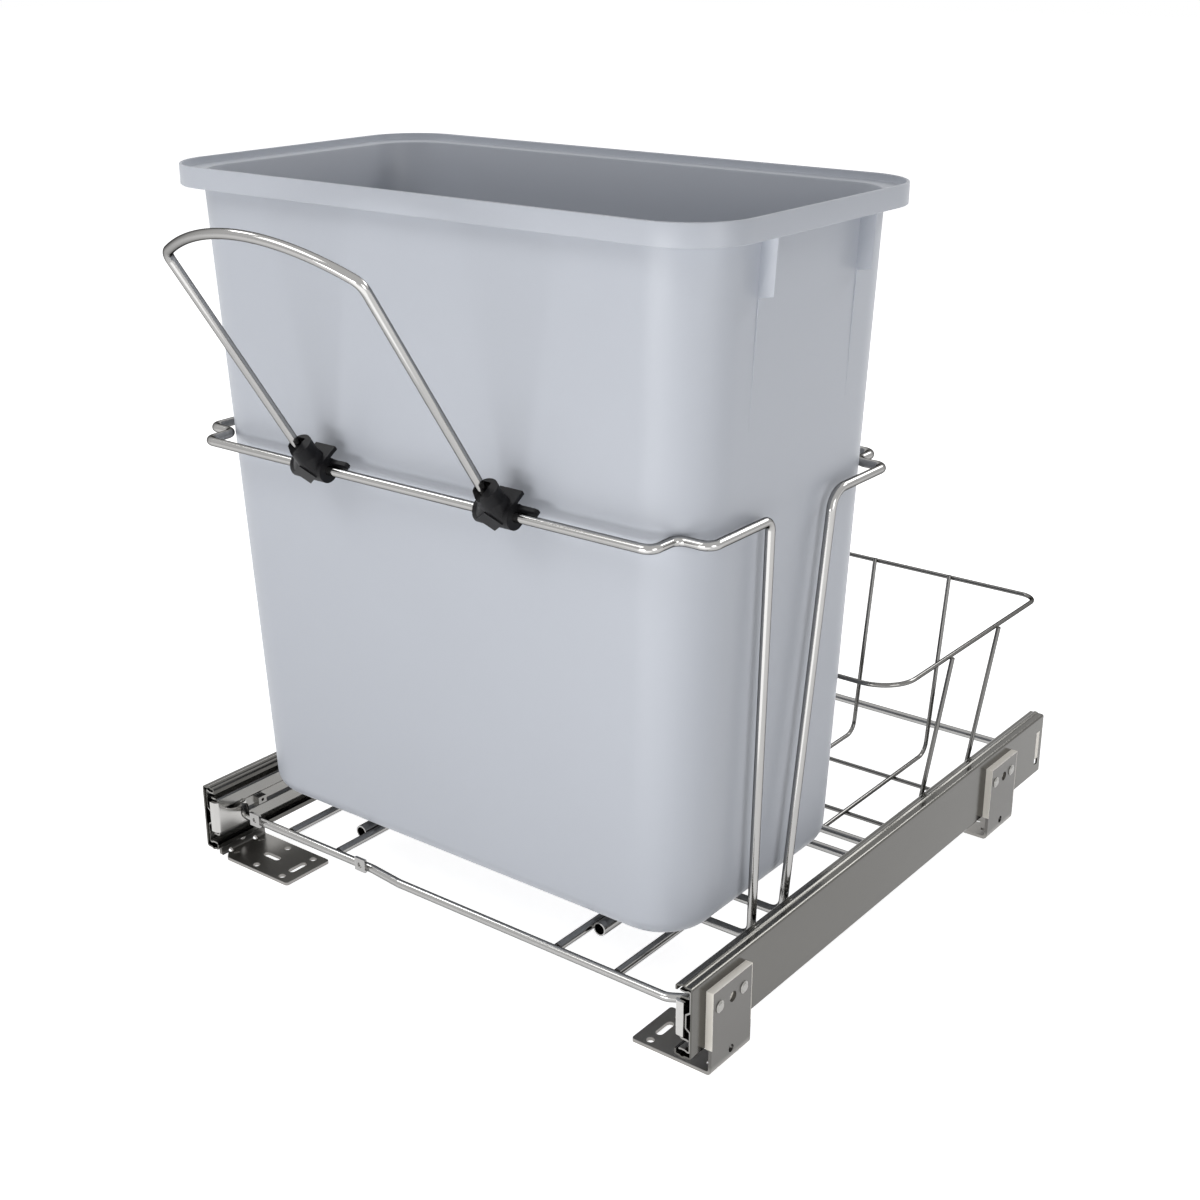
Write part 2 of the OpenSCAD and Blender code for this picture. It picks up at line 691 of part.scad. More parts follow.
// One closed loop: cross rod, two uprights and half of the ring
module hoop(cross_y, side_y, end_y, s, top_r, notch) {
    inner_x = ring_x - notch;
    half = [
        [hoop_foot_x, cross_y, cross_z],
        [ring_x, side_y, ring_z],
        [ring_x, end_y + s * (notch + 1.5), ring_z],
        [inner_x, end_y + s * (notch + 1.5), ring_z],
        [inner_x, end_y, ring_z]];
    other = [for (p = backwards(half)) [-p[0], p[1], p[2]]];
    radii = [foot_bend_r, top_r, notch_r, notch_r, notch_r];
    wire(concat(half, other), concat(radii, backwards(radii)), wire_d, closed = true);
}

module cross_bar(y) {
    wire([[-web_face, y, under_z], [web_face, y, under_z]], [0, 0], wire_d);
}

module rim() {
    f = basket_front_y;
    b = basket_rear_y;
    x = basket_x;
    z = basket_z;
    wire([[x, f, z], [x, b, z], [-x, b, z], [-x, f, z]],
        [rim_front_r, rim_rear_r, rim_rear_r, rim_front_r], basket_wire_d, closed = true);
}

// Cross hoop, leaning out past the slides to the outer side of the rim
module basket_hoop(y) {
    z = basket_floor_z;
    x = basket_x + basket_wire_d - weld_sink;
    slide_x = half_w - rail_depth - hoop_gap - thin_r;
    foot_x = slide_x - (x - slide_x) * (rail_height - z) / (basket_z - rail_height);
    wire([[-x, y, basket_z], [-foot_x, y, z], [foot_x, y, z], [x, y, basket_z]],
        [0, basket_bend_r, basket_bend_r, 0], basket_wire_d);
}

module stringers() {
    top = basket_z + thin_r + wire_over;
    for (x = stringer_x)
        wire([[x, cross_bar_y[1] - bearing_r, stringer_z], [x, basket_back_y, stringer_z],
            [x, basket_rear_y - basket_wire_d + weld_sink, top]], [0, basket_bend_r, 0], basket_wire_d);
}

// ---- handle, drawn upright round its hinge axis
module at_hinge() {
    translate([handle_x, ring_front_y, ring_z]) rotate([handle_lean, 0, 0]) children();
}

module bail() {
    w = handle_w / 2;
    top = handle_leg + w * tan(handle_bow_a);
    wire([[-w, 0, leg_foot], [-w, 0, handle_leg], [0, 0, top], [w, 0, handle_leg], [w, 0, leg_foot]],
        [0, shoulder_r, handle_bow_r, shoulder_r, 0], wire_d);
}

module clip() {
    half_l = clip_length / 2;
    difference() {
        union() {
            translate([clip_shift - half_l, 0, 0]) rotate([0, 90, 0]) cylinder(d = clip_od, h = clip_length);
            // body between the sleeve and the socket, with a diamond on its front
            hull() {
                translate([-8, 0, 0]) rotate([0, 90, 0]) cylinder(d = clip_od - 0.6, h = 19, $fn = 32);
                translate([socket_shift, 0, 0]) cylinder(d = socket_od - 1, h = 13, $fn = 32);
            }
            translate([clip_shift, 0, 1.5]) rotate([90, 0, 0])
                linear_extrude(clip_od / 2 + 0.5) polygon([[-9, 0], [0, -7.5], [9, 0], [0, 7.5]]);
            translate([socket_shift, 0, 0]) cylinder(d = socket_od, h = socket_top);
            // wing towards the bin
            translate([-2, 0, clip_od / 2 - 2.6])
                cube([clip_shift + half_l + 1.8, wing_reach, 2.6]);
            // locking finger behind the wire
            translate([half_l / 2, bearing_r + 0.8, -0.6])
                cube([half_l / 2 + clip_shift + finger_length - 1.3, 2.6, 4]);
            translate([half_l + clip_shift + finger_length - 1.3, bearing_r + 0.8, 1.4]) rotate([-90, 0, 0])
                cylinder(d = 4, h = 2.6);
        }
        translate([clip_shift - half_l - 1, 0, 0]) rotate([0, 90, 0])
            cylinder(r = bearing_r + clip_play, h = clip_length + 2);
        // mouth of the sleeve, towards the bin
        translate([clip_shift - half_l - 1, 0, -4.4]) cube([clip_length + 2, clip_od, 3.8]);
        // seat of the leg, open towards the front at its top
        translate([0, 0, leg_foot]) cylinder(d = wire_d + 0.04, h = socket_top);
        translate([0, -bearing_r, socket_top]) rotate([90, 0, 0])
            cylinder(d = wire_d + 2, h = socket_od, center = true);
    }
}

// ---- bin
module rounded_box(l, w, r, h) {
    linear_extrude(h) union() {
        square([l - 2 * r, w], center = true);
        square([l, w - 2 * r], center = true);
        for (x = [-1, 1])
            for (y = [-1, 1]) translate([x * (l / 2 - r), y * (w / 2 - r)]) circle(r = r);
    }
}

// Tapered tub with round corners and a rounded lower edge, from which the floor
// slopes in to a base panel; drawn in by d on every side
module tub(d, z0, z1) {
    top_r = wall_top_r - d;
    foot_r = wall_foot_r - d;
    edge_r = floor_edge_r - d;
    l = bin_l / 2 - overhang - d;
    w = bin_w / 2 - overhang - d;
    hull() {
        for (x = [-1, 1])
            for (y = [-1, 1]) {
                translate([x * (l - top_r), y * (w - top_r), z1 - 1]) cylinder(r = top_r, h = 1);
                translate([x * (l - draft_l - foot_r), foot_back + y * (w - draft_w - foot_r),
                    z0 + base_drop + edge_r])
                    rotate_extrude() intersection() {
                        translate([foot_r - edge_r, 0]) circle(r = edge_r);
                        translate([0, -edge_r]) square([foot_r, 2 * edge_r]);
                    }
                translate([x * (l - draft_l - base_inset - base_r),
                    foot_back + y * (w - draft_w - base_inset - base_r), z0])
                    cylinder(r = base_r, h = 1);
            }
    }
}

// Outside of an end wall at a height
function wall_x(z) = bin_l / 2 - overhang
    - draft_l * (ledge_z - 1 - z) / (ledge_z - 1 - bin_z - base_drop - floor_edge_r);

module bin_body() {
    translate([0, bin_mid_y, 0]) {
        difference() {
            union() {
                tub(0, bin_z, ledge_z);
                // skirt with its ledge
                difference() {
                    translate([0, 0, skirt_z]) rounded_box(bin_l, bin_w, rim_r, skirt_h);
                    translate([0, 0, ledge_z])
                        rounded_box(bin_l - 2 * skirt_t, bin_w - 2 * skirt_t, rim_r - skirt_t, skirt_h);
                    translate([0, 0, skirt_z - 1])
                        rounded_box(bin_l - 2 * skirt_t, bin_w - 2 * skirt_t, rim_r - skirt_t,
                            skirt_h - lip_rise - bin_wall + 1);
                }
                both_sides() for (y = fin_y)
                    translate([0, y - bin_w / 2, 0]) rotate([90, 0, 0]) linear_extrude(fin_t)
                        polygon([
                            [wall_x(ledge_z) - 3, ledge_z - bin_wall / 2],
                            [bin_l / 2 - 0.4, ledge_z - bin_wall / 2],
                            [bin_l / 2 - 0.4, skirt_z],
                            [wall_x(skirt_z - fin_h) + overhang - 0.4, skirt_z - fin_h + 1.5],
                            [wall_x(skirt_z - fin_h) + 0.7, skirt_z - fin_h],
                            [wall_x(skirt_z - fin_h - ridge_l), skirt_z - fin_h - ridge_l],
                            [wall_x(skirt_z - fin_h - ridge_l) - 1, skirt_z - fin_h - ridge_l]]);
            }
            tub(bin_wall, bin_z + bin_wall, ledge_z + 1);
        }
    }
}

module right_outer_rail() place() color(STEEL) right_side() outer_rail();
module left_outer_rail() place() color(STEEL) left_side() outer_rail();
module right_mid_rail() place() color(STEEL) right_side() mid_rail();
module left_mid_rail() place() color(STEEL) left_side() mid_rail();
module right_inner_rail() place() color(STEEL) right_side() inner_rail();
module left_inner_rail() place() color(STEEL) left_side() inner_rail();
module right_outer_cage() place() color(BRIGHT) right_side() cage(outer_ball_h, outer_ball_d);
module left_outer_cage() place() color(BRIGHT) left_side() cage(outer_ball_h, outer_ball_d);
module right_inner_cage() place() color(BRIGHT) right_side() cage(inner_ball_h, inner_ball_d);
module left_inner_cage() place() color(BRIGHT) left_side() cage(inner_ball_h, inner_ball_d);
module right_bumper() place() color(CREAM) right_side() bumper();
module left_bumper() place() color(CREAM) left_side() bumper();
module right_front_bracket() place() color(STEEL) bracket(bracket_front, right_foot_w, 0);
module right_rear_bracket() place() color(STEEL) bracket(rear_bracket, right_foot_w, 0);
module left_front_bracket() place() color(STEEL) mirror([1, 0, 0])
    bracket(bracket_front, left_foot_w, foot_chamfer);
module left_rear_bracket() place() color(STEEL) mirror([1, 0, 0])
    bracket(rear_bracket, left_foot_w, foot_chamfer);
module right_front_spacer() place() color(CREAM) spacer(bracket_front);
module right_rear_spacer() place() color(CREAM) spacer(rear_bracket);
module left_front_spacer() place() color(CREAM) mirror([1, 0, 0]) spacer(bracket_front);
module left_rear_spacer() place() color(CREAM) mirror([1, 0, 0]) spacer(rear_bracket);
module right_rivets() place() color(BRIGHT) rivets();
module left_rivets() place() color(BRIGHT) mirror([1, 0, 0]) rivets();
module right_carrier() place() color(STEEL) right_side() carrier();
module left_carrier() place() color(STEEL) left_side() carrier();
module front_bar() place() color(BRIGHT) bar();
module bar_tabs() place() color(STEEL) tabs();
module right_floor_rods() place() color(BRIGHT)
    floor_rods(1, bar_y + bearing_r - weld_sink);
module left_floor_rods() place() color(BRIGHT)
    floor_rods(-1, bar_left_y + bearing_r - weld_sink);
module right_guide_tube() place() color(BRIGHT) guide_tube(1);
module left_guide_tube() place() color(BRIGHT) guide_tube(-1);
module front_hoop() place() color(BRIGHT)
    hoop(front_cross_y, front_side_y, ring_front_y, 1, top_bend_r, notch_size);
module rear_hoop() place() color(BRIGHT)
    hoop(rear_cross_y, rear_side_y, ring_rear_y, -1, 2 * top_bend_r, rear_notch_size);
module front_cross_bar() place() color(BRIGHT) cross_bar(cross_bar_y[0]);
module middle_cross_bar() place() color(BRIGHT) cross_bar(cross_bar_y[1]);
module rear_cross_bar() place() color(BRIGHT) cross_bar(cross_bar_y[2]);
module basket_rim() place() color(BRIGHT) rim();
module basket_front_hoop() place() color(BRIGHT) basket_hoop(basket_hoop_y[0]);
module basket_rear_hoop() place() color(BRIGHT) basket_hoop(basket_hoop_y[1]);
module basket_stringers() place() color(BRIGHT) stringers();
module bail_wire() place() color(BRIGHT) at_hinge() bail();
module left_clip() place() color(BLACK) at_hinge() translate([-handle_w / 2, 0, 0]) clip();
module right_clip() place() color(BLACK) at_hinge() translate([handle_w / 2, 0, 0]) clip();
module bin() place() color(GREY) bin_body();

right_outer_rail();
left_outer_rail();
right_mid_rail();
left_mid_rail();
right_inner_rail();
left_inner_rail();
right_outer_cage();
left_outer_cage();
right_inner_cage();
left_inner_cage();
right_bumper();
left_bumper();
right_front_bracket();
right_rear_bracket();
left_front_bracket();
left_rear_bracket();
right_front_spacer();
right_rear_spacer();
left_front_spacer();
left_rear_spacer();
right_rivets();
left_rivets();
right_carrier();
left_carrier();
front_bar();
bar_tabs();
right_floor_rods();
left_floor_rods();
right_guide_tube();
left_guide_tube();
front_hoop();
rear_hoop();
front_cross_bar();
middle_cross_bar();
rear_cross_bar();
basket_rim();
basket_front_hoop();
basket_rear_hoop();
basket_stringers();
bail_wire();
left_clip();
right_clip();
bin();
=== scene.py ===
import math

import bmesh
import bpy
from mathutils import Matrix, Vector


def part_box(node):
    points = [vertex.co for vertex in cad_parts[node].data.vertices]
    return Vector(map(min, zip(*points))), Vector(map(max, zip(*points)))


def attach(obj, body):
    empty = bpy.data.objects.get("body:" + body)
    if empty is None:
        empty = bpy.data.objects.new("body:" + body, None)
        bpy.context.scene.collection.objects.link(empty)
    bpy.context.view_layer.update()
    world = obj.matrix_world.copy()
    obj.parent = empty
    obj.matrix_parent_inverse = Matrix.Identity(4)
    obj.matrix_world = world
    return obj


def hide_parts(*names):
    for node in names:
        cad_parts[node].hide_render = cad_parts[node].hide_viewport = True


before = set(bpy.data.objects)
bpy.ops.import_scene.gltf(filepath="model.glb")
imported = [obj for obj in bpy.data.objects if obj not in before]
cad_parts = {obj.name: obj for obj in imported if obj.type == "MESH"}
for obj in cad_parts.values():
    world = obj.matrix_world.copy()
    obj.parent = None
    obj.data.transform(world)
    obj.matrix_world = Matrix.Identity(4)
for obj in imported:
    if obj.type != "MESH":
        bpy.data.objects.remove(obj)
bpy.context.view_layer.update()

# The studio: a pale floor with a soft lamp lying on it in front, a low lamp in
# front, and lamps on the right, high in front, high on the left and behind. The
# camera stands where the photograph was taken from.
SLIDE_UNDERSIDE = 0.016
CAMERA_FROM_SLIDES = (0.65647, -0.67612, 0.58370)
CAMERA_TILT = 69.056
CAMERA_TURN = 37.556
SENSOR_WIDTH = 36.0
FOCAL_LENGTH = 52.76
# name, place, point it shines at, size in metres, power in watts
LAMPS = (
    ("key_softbox", (0.05, -2.45, 0.20), (0, 0, 0.25), (1.4, 0.35), 16.5),
    ("right_softbox", (2.30, -0.70, 0.60), (0, 0, 0.2), (1.0, 1.0), 13),
    ("left_softbox", (-0.55, -1.25, 1.75), (0, 0, 0.2), (1.0, 0.8), 9.5),
    ("wire_light", (-1.45, -0.40, 1.90), (0, 0, 0.1), (0.5, 0.4), 5),
    ("rim_softbox", (0.70, 1.75, 1.60), (0, 0, 0.1), (1.5, 0.5), 17),
    ("floor_softbox", (0.3, -0.95, 0.004), (0.3, -0.95, 1.0), (1.2, 1.2), 3.6),
)
ROUND_LAMP = "floor_softbox"
AIR_LIGHT = (0.165, 0.165, 0.170, 1)
WHITE = (1, 1, 1, 1)
FLOOR_REACH = 12
FLOOR_COLOUR = (0.86, 0.86, 0.86, 1)
GLOW_NEAR, GLOW_FAR = 0.82, 1.0
GLOW_FROM, GLOW_TO = 0.35, 1.3

camera_data = bpy.data.cameras.new("photo_camera")
camera_data.sensor_width = SENSOR_WIDTH
camera_data.lens = FOCAL_LENGTH
camera = bpy.data.objects.new("photo_camera", camera_data)
slide_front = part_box("right_outer_rail")[0].y
camera.location = Vector((0, slide_front, SLIDE_UNDERSIDE)) + Vector(CAMERA_FROM_SLIDES)
camera.rotation_euler = (math.radians(CAMERA_TILT), 0.0, math.radians(CAMERA_TURN))
bpy.context.scene.collection.objects.link(camera)
bpy.context.scene.camera = camera
bpy.context.scene.view_settings.view_transform = "Standard"

for name, place, target, size, power in LAMPS:
    lamp_data = bpy.data.lights.new(name, "AREA")
    lamp_data.shape = "DISK" if name == ROUND_LAMP else "RECTANGLE"
    lamp_data.size, lamp_data.size_y = size
    lamp_data.energy = power
    lamp = bpy.data.objects.new(name, lamp_data)
    lamp.location = place
    aim = Vector(target) - Vector(place)
    lamp.rotation_euler = aim.to_track_quat("-Z", "Y").to_euler()
    lamp.visible_camera = False
    bpy.context.scene.collection.objects.link(lamp)


def seen_directly(nodes, links):
    """1 where a camera, mirror or glass ray meets the surface, else 0."""
    path = nodes.new("ShaderNodeLightPath")
    either = nodes.new("ShaderNodeMath")
    either.operation = "MAXIMUM"
    links.new(path.outputs["Is Camera Ray"], either.inputs[0])
    links.new(path.outputs["Is Glossy Ray"], either.inputs[1])
    any_ray = nodes.new("ShaderNodeMath")
    any_ray.operation = "MAXIMUM"
    links.new(either.outputs[0], any_ray.inputs[0])
    links.new(path.outputs["Is Transmission Ray"], any_ray.inputs[1])
    return any_ray.outputs[0]


world = bpy.data.worlds.new("studio_air")
bpy.context.scene.world = world
world.use_nodes = True
air_nodes, air_links = world.node_tree.nodes, world.node_tree.links
air_mix = air_nodes.new("ShaderNodeMix")
air_mix.data_type = "RGBA"
air_mix.inputs[6].default_value = AIR_LIGHT
air_mix.inputs[7].default_value = WHITE
air_links.new(seen_directly(air_nodes, air_links), air_mix.inputs[0])
air_links.new(air_mix.outputs[2], air_nodes["Background"].inputs["Color"])

floor_mesh = bpy.data.meshes.new("studio_floor")
floor_bm = bmesh.new()
bmesh.ops.create_grid(floor_bm, x_segments=1, y_segments=1, size=FLOOR_REACH)
floor_bm.to_mesh(floor_mesh)
floor_bm.free()
floor = bpy.data.objects.new("studio_floor", floor_mesh)
bpy.context.scene.collection.objects.link(floor)
floor_paint = bpy.data.materials.new("floor_paint")
floor_paint.use_nodes = True
floor_nodes, floor_links = floor_paint.node_tree.nodes, floor_paint.node_tree.links
floor_shader = floor_nodes["Principled BSDF"]
floor_shader.inputs["Base Color"].default_value = FLOOR_COLOUR
floor_shader.inputs["Roughness"].default_value = 1.0
floor_shader.inputs["Specular IOR Level"].default_value = 0.0
floor_shader.inputs["Emission Color"].default_value = WHITE
floor_place = floor_nodes.new("ShaderNodeTexCoord")
floor_distance = floor_nodes.new("ShaderNodeVectorMath")
floor_distance.operation = "LENGTH"
floor_links.new(floor_place.outputs["Object"], floor_distance.inputs[0])
floor_fade = floor_nodes.new("ShaderNodeMapRange")
floor_fade.inputs["From Min"].default_value = GLOW_FROM
floor_fade.inputs["From Max"].default_value = GLOW_TO
floor_fade.inputs["To Min"].default_value = GLOW_NEAR
floor_fade.inputs["To Max"].default_value = GLOW_FAR
floor_links.new(floor_distance.outputs["Value"], floor_fade.inputs["Value"])
floor_glow = floor_nodes.new("ShaderNodeMath")
floor_glow.operation = "MULTIPLY"
floor_links.new(floor_fade.outputs["Result"], floor_glow.inputs[1])
floor_links.new(seen_directly(floor_nodes, floor_links), floor_glow.inputs[0])
floor_links.new(floor_glow.outputs[0], floor_shader.inputs["Emission Strength"])
floor_mesh.materials.append(floor_paint)

# Slides: three nested channels a side, roll-formed from zinc-plated strip,
# the outer one riveted to the floor brackets. The plate is a satin grey with
# faint drawing marks along the strip. The two inner channels are the same
# plate painted lighter: painted light that brightens them where they sit in shade.
DRAWN_STRIP = (200, 8, 200)
STRIP_RELIEF = 0.0000004
METAL_DETAIL = 5.0
METAL_BREAKUP = 0.62
METAL_BUMP = 0.5


def new_material(name):
    """A node material and its nodes, links and shader."""
    material = bpy.data.materials.new(name)
    material.use_nodes = True
    tree = material.node_tree
    return material, tree.nodes, tree.links, tree.nodes["Principled BSDF"]


def marked_metal(name, colour, dark, roughness, spread, grain, bump, edge=1.0, metallic=1.0):
    """Plated metal whose colour and gloss vary a little along its grain."""
    material, nodes, links, shader = new_material(name)
    shader.inputs["Metallic"].default_value = metallic
    shader.inputs["Specular Tint"].default_value = (edge, edge, edge, 1)
    place = nodes.new("ShaderNodeTexCoord")
    stretch = nodes.new("ShaderNodeMapping")
    stretch.inputs["Scale"].default_value = grain
    links.new(place.outputs["Object"], stretch.inputs["Vector"])
    marks = nodes.new("ShaderNodeTexNoise")
    marks.inputs["Scale"].default_value = 1.0
    marks.inputs["Detail"].default_value = METAL_DETAIL
    marks.inputs["Roughness"].default_value = METAL_BREAKUP
    links.new(stretch.outputs["Vector"], marks.inputs["Vector"])
    tone = nodes.new("ShaderNodeMix")
    tone.data_type = "RGBA"
    tone.inputs[6].default_value = (*dark, 1)
    tone.inputs[7].default_value = (*colour, 1)
    links.new(marks.outputs["Fac"], tone.inputs[0])
    links.new(tone.outputs[2], shader.inputs["Base Color"])
    gloss = nodes.new("ShaderNodeMapRange")
    gloss.inputs["To Min"].default_value = roughness - spread
    gloss.inputs["To Max"].default_value = roughness + spread
    links.new(marks.outputs["Fac"], gloss.inputs["Value"])
    links.new(gloss.outputs["Result"], shader.inputs["Roughness"])
    relief = nodes.new("ShaderNodeBump")
    relief.inputs["Strength"].default_value = METAL_BUMP
    relief.inputs["Distance"].default_value = bump
    links.new(marks.outputs["Fac"], relief.inputs["Height"])
    links.new(relief.outputs["Normal"], shader.inputs["Normal"])
    return material


def dress(material, *node_names):
    """Gives CAD nodes a material of this scene."""
    for node_name in node_names:
        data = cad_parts[node_name].data
        data.materials.clear()
        data.materials.append(material)


zinc_strip = marked_metal(
    "zinc_strip", colour=(0.118, 0.115, 0.107), dark=(0.115, 0.112, 0.104),
    roughness=0.17, spread=0.01, grain=DRAWN_STRIP, bump=STRIP_RELIEF)
# the same zinc strip painted lighter: painted light on the mid and inner channels
zinc_strip_painted_light = marked_metal(
    "zinc_strip_painted_light", colour=(0.30, 0.295, 0.283), dark=(0.285, 0.28, 0.269),
    roughness=0.24, spread=0.02, grain=DRAWN_STRIP, bump=STRIP_RELIEF)
for side in ("right", "left"):
    dress(zinc_strip, side + "_outer_rail")
    dress(zinc_strip_painted_light, side + "_mid_rail", side + "_inner_rail")

# Ball cages: pressed steel strips with hardened balls, held between the
# channels by their races.
bearing_steel = marked_metal(
    "bearing_steel", colour=(0.62, 0.62, 0.62), dark=(0.5, 0.5, 0.5),
    roughness=0.2, spread=0.05, grain=(300, 300, 300), bump=0.00001)
for side in ("right", "left"):
    dress(bearing_steel, side + "_outer_cage", side + "_inner_cage")

# Rear bumpers and bracket spacers: natural nylon mouldings, a warm off-white,
# pressed into the channel and held behind the brackets by their rivets.
SPOT_DETAIL = 4.0
CLOUD_SCALE = 9.0
CLOUD_DETAIL = 2.0
GLOSS_SPREAD = 0.05
PLASTIC_BUMP = 0.4


def moulded_plastic(name, colour, roughness, grain, bump, shift=0.04, specular=0.5):
    """A moulded plastic with a fine texture and slightly uneven gloss."""
    material, nodes, links, shader = new_material(name)
    shader.inputs["Specular IOR Level"].default_value = specular
    place = nodes.new("ShaderNodeTexCoord")
    spots = nodes.new("ShaderNodeTexNoise")
    spots.inputs["Scale"].default_value = grain
    spots.inputs["Detail"].default_value = SPOT_DETAIL
    links.new(place.outputs["Object"], spots.inputs["Vector"])
    clouds = nodes.new("ShaderNodeTexNoise")
    clouds.inputs["Scale"].default_value = CLOUD_SCALE
    clouds.inputs["Detail"].default_value = CLOUD_DETAIL
    links.new(place.outputs["Object"], clouds.inputs["Vector"])
    tone = nodes.new("ShaderNodeMix")
    tone.data_type = "RGBA"
    tone.inputs[6].default_value = (*[c * (1 - shift) for c in colour], 1)
    tone.inputs[7].default_value = (*[min(1, c * (1 + shift)) for c in colour], 1)
    links.new(clouds.outputs["Fac"], tone.inputs[0])
    links.new(tone.outputs[2], shader.inputs["Base Color"])
    gloss = nodes.new("ShaderNodeMapRange")
    gloss.inputs["To Min"].default_value = roughness - GLOSS_SPREAD
    gloss.inputs["To Max"].default_value = roughness + GLOSS_SPREAD
    links.new(spots.outputs["Fac"], gloss.inputs["Value"])
    links.new(gloss.outputs["Result"], shader.inputs["Roughness"])
    relief = nodes.new("ShaderNodeBump")
    relief.inputs["Strength"].default_value = PLASTIC_BUMP
    relief.inputs["Distance"].default_value = bump
    links.new(spots.outputs["Fac"], relief.inputs["Height"])
    links.new(relief.outputs["Normal"], shader.inputs["Normal"])
    return material


natural_nylon = moulded_plastic(
    "natural_nylon", colour=(0.98, 0.93, 0.85), roughness=0.45, grain=900.0, bump=0.00002)
for side in ("right", "left"):
    dress(natural_nylon, side + "_bumper", side + "_front_spacer", side + "_rear_spacer")

# Floor brackets and rivets: 2.2 mm zinc-plated angle with slotted feet, each
# fixed to its slide by two domed rivets. The upward-facing feet are painted
# lighter than the upright plates: painted light, because with one tone for
# both they rendered too dark.
ROLLED_SHEET = (90, 60, 90)
SHEET_RELIEF = 0.000002
UPRIGHT_FROM, FOOT_UP_TO = 0.006, 0.002

# colour is the feet's painted light, dark is the upright plates' own tone
zinc_plate = marked_metal(
    "zinc_plate", colour=(0.30, 0.29, 0.275), dark=(0.142, 0.138, 0.131),
    roughness=0.30, spread=0.03, grain=ROLLED_SHEET, bump=SHEET_RELIEF, metallic=0.85)
plate_nodes, plate_links = zinc_plate.node_tree.nodes, zinc_plate.node_tree.links
plate_place = plate_nodes.new("ShaderNodeTexCoord")
plate_height = plate_nodes.new("ShaderNodeSeparateXYZ")
plate_links.new(plate_place.outputs["Object"], plate_height.inputs["Vector"])
# height mask for the painted light: upright plates keep their tone, the feet below it are
# painted lighter
foot_painted_light = plate_nodes.new("ShaderNodeMapRange")
foot_painted_light.inputs["From Min"].default_value = UPRIGHT_FROM
foot_painted_light.inputs["From Max"].default_value = FOOT_UP_TO
plate_links.new(plate_height.outputs["Z"], foot_painted_light.inputs["Value"])
plate_links.new(foot_painted_light.outputs["Result"], plate_nodes["Mix"].inputs[0])
zinc_dome = marked_metal(
    "zinc_dome", colour=(0.34, 0.335, 0.32), dark=(0.32, 0.315, 0.30),
    roughness=0.18, spread=0.02, grain=ROLLED_SHEET, bump=SHEET_RELIEF)
for side in ("right", "left"):
    dress(zinc_plate, side + "_front_bracket", side + "_rear_bracket")
    dress(zinc_dome, side + "_rivets")

# Carriage: chrome-plated wire welded up from straight rods and bent loops,
# with a folded plate at each side that is fixed to the inner channel.
WIRE_GRAIN = (60, 60, 60)
WIRE_RELIEF = 0.000004
WIRE_EDGE = 0.1

chrome_wire = marked_metal(
    "chrome_wire", colour=(0.395, 0.391, 0.384), dark=(0.375, 0.371, 0.364),
    roughness=0.12, spread=0.02, grain=WIRE_GRAIN, bump=WIRE_RELIEF, edge=WIRE_EDGE)
dress(chrome_wire, "front_bar", "right_floor_rods", "left_floor_rods", "right_guide_tube",
      "left_guide_tube", "front_hoop", "rear_hoop", "front_cross_bar", "middle_cross_bar",
      "rear_cross_bar", "bar_tabs")
thin_wire = marked_metal(
    "thin_wire", colour=(0.19, 0.187, 0.181), dark=(0.18, 0.177, 0.171),
    roughness=0.12, spread=0.02, grain=WIRE_GRAIN, bump=WIRE_RELIEF, edge=WIRE_EDGE)
dress(thin_wire, "basket_rim", "basket_front_hoop", "basket_rear_hoop", "basket_stringers")
bright_plate = marked_metal(
    "bright_plate", colour=(0.52, 0.51, 0.495), dark=(0.48, 0.475, 0.46),
    roughness=0.2, spread=0.03, grain=ROLLED_SHEET, bump=0.000005)
dress(bright_plate, "right_carrier", "left_carrier")

# Handle: a bail bent from the same wire, held on the ring's front wire by two
# black nylon clips that snap over it and let it swing.
black_nylon = moulded_plastic(
    "black_nylon", colour=(0.008, 0.008, 0.009), roughness=0.42, grain=700.0,
    bump=0.00004, specular=0.14)
dress(chrome_wire, "bail_wire")
dress(black_nylon, "left_clip", "right_clip")

# Bin: one polypropylene moulding that stands loose in the ring, drawn in towards
# its lower edge, from which the floor slopes in to a base panel; a turned over
# skirt runs round the rim and a pair of fins stands under it at each end.
BIN_LENGTH = 0.3972
BIN_WIDTH = 0.22055
BIN_HEIGHT = 0.4228
BIN_WALL = 0.002
SKIRT_HEIGHT = 0.0123
SKIRT_WALL = 0.0018
LIP_RISE = 0.0042
OVERHANG = 0.0098
END_DRAFT = 0.0169
SIDE_DRAFT = 0.0079
DRAFT_END = 0.001
FOOT_BACK = 0.0033
RIM_RADIUS = 0.038
WALL_TOP_RADIUS = 0.037
WALL_FOOT_RADIUS = 0.035
FLOOR_EDGE_RADIUS = 0.014
FLOOR_EDGE_STEPS = 8
BASE_DROP = 0.0134
BASE_INSET = 0.032
BASE_RADIUS = 0.012
CORNER_STEPS = 18
WALL_RING_HEIGHTS = (0.12, 0.22, 0.32, 0.39)
# small rounds: wall to ledge, ledge to skirt, skirt's foot, lip out, lip in, mouth
UNDER_ROUND = 0.0012
SKIRT_ROUND = 0.0008
FOOT_ROUND = 0.0004
LIP_ROUND = 0.0006
LIP_IN_ROUND = 0.0005
MOUTH_ROUND = 0.0015
FIN_Y = (0.0622, 0.1597)
FIN_HEIGHT = 0.031
FIN_WALL = 0.0018
FIN_INSIDE = 0.0005
FIN_SLOPE = 0.0015
FIN_ROUND = 0.0003
FIN_ROOT = 0.001
RIDGE_LENGTH = 0.07
RIDGE_TOP, RIDGE_END = 0.0008, 0.0001
JOIN_DISTANCE = 1e-7
CREASE_ANGLE = 25


